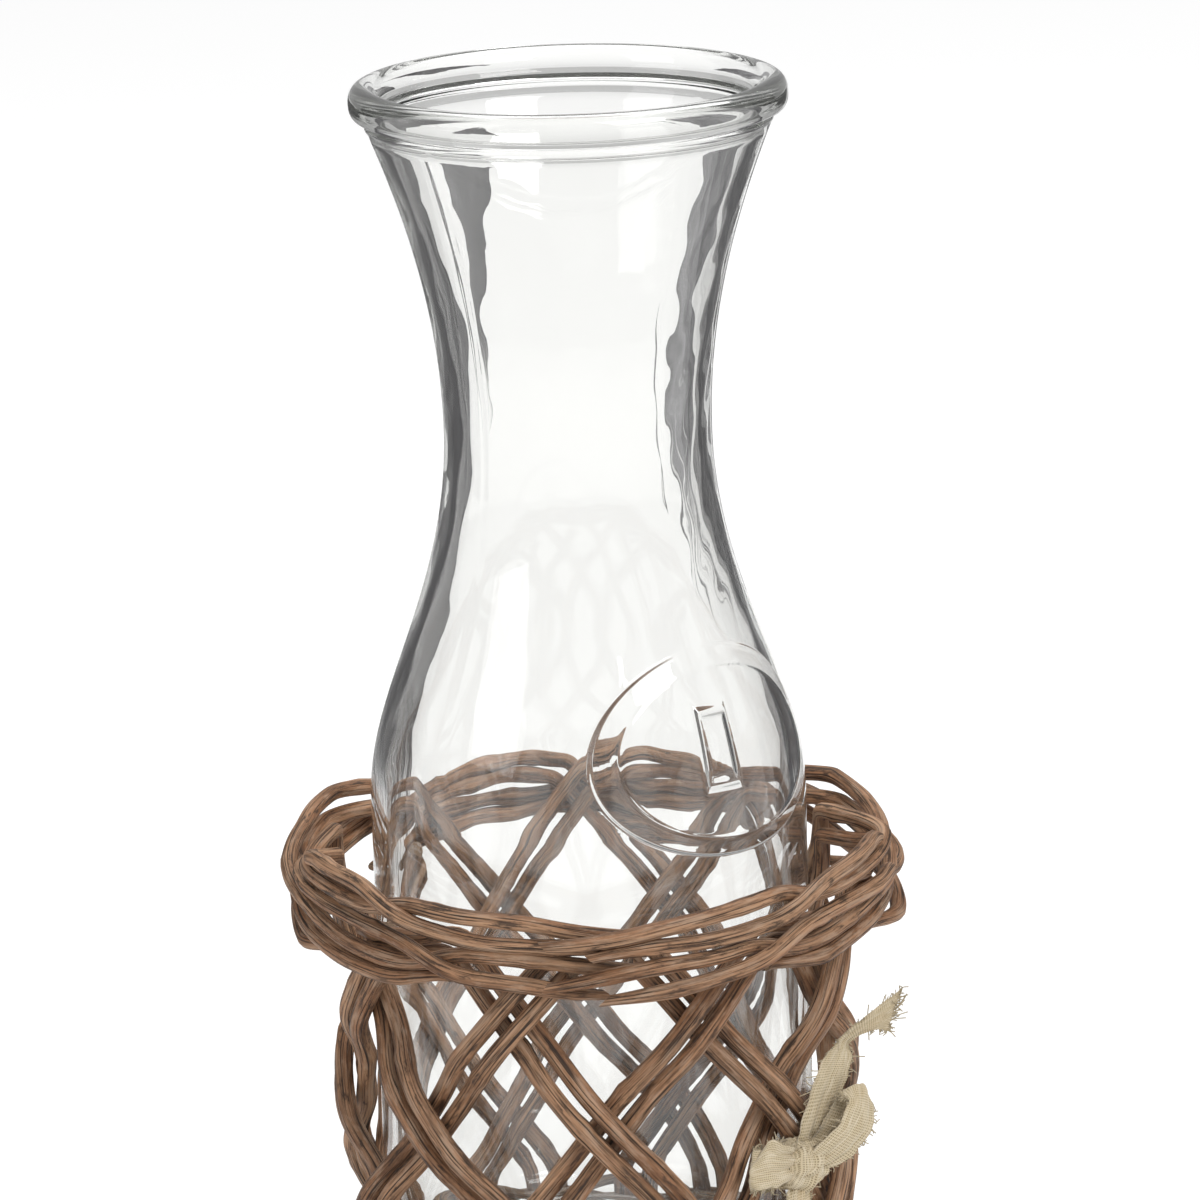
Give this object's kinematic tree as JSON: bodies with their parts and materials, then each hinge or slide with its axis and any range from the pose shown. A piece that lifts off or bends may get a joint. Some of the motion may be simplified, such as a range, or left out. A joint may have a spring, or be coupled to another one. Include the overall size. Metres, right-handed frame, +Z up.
{
  "type": "wicker-covered carafe",
  "caption": "Clear glass carafe with a flared neck and a raised oval seal, standing in an open willow lattice basket with a rolled border and a tied gauze bow.",
  "frame": {"origin": "on the carafe's axis at table level, under the middle of the foot rod", "axes": "+Z up along the carafe's axis, -Y the front of the picture, +X the side with the bow"},
  "size_m": [0.125, 0.1232, 0.265],
  "materials": {
    "clear_glass": "clear pressed soda-lime glass, glossy, faint grey-green in the thick edges",
    "brown_willow": "unpeeled and buff willow rods, matt, reddish brown with dark bark cracks and knots",
    "grey_willow": "weathered willow rods, matt, greyed tan",
    "gauze": "torn strip of ecru cotton gauze with frayed edges"
  },
  "bodies": {
    "basket": {"right_stake_1a": "brown_willow", "right_stake_1b": "brown_willow", "right_stake_2a": "brown_willow", "right_stake_2b": "brown_willow", "right_stake_3a": "brown_willow", "right_stake_3b": "brown_willow", "right_stake_4a": "brown_willow", "right_stake_4b": "brown_willow", "right_stake_5a": "brown_willow", "right_stake_5b": "brown_willow", "right_stake_6a": "brown_willow", "right_stake_6b": "brown_willow", "right_stake_7a": "brown_willow", "right_stake_7b": "brown_willow", "right_stake_8a": "brown_willow", "right_stake_8b": "brown_willow", "left_stake_1a": "brown_willow", "left_stake_1b": "brown_willow", "left_stake_2a": "brown_willow", "left_stake_2b": "brown_willow", "left_stake_3a": "brown_willow", "left_stake_3b": "brown_willow", "left_stake_4a": "brown_willow", "left_stake_4b": "brown_willow", "left_stake_5a": "brown_willow", "left_stake_5b": "brown_willow", "left_stake_6a": "brown_willow", "left_stake_6b": "brown_willow", "left_stake_7a": "brown_willow", "left_stake_7b": "brown_willow", "left_stake_8a": "brown_willow", "left_stake_8b": "brown_willow", "foot_rod": "grey_willow", "waling_rod_1": "grey_willow", "waling_rod_2": "grey_willow", "waling_rod_3": "grey_willow", "floor_stick_1": "grey_willow", "floor_cross_stick_1": "grey_willow", "floor_stick_2": "grey_willow", "floor_cross_stick_2": "grey_willow", "floor_stick_3": "grey_willow", "floor_cross_stick_3": "grey_willow", "floor_stick_4": "grey_willow", "floor_cross_stick_4": "grey_willow", "floor_stick_5": "grey_willow", "floor_cross_stick_5": "grey_willow", "cloth_bow": "gauze"},
    "carafe": {"glass_carafe": "clear_glass"}
  },
  "joints": [
    {"name": "carafe_lift", "type": "slide", "parent": "basket", "child": "carafe", "axis": [0, 0, 1], "range_m": [0, 0.12]}
  ]
}
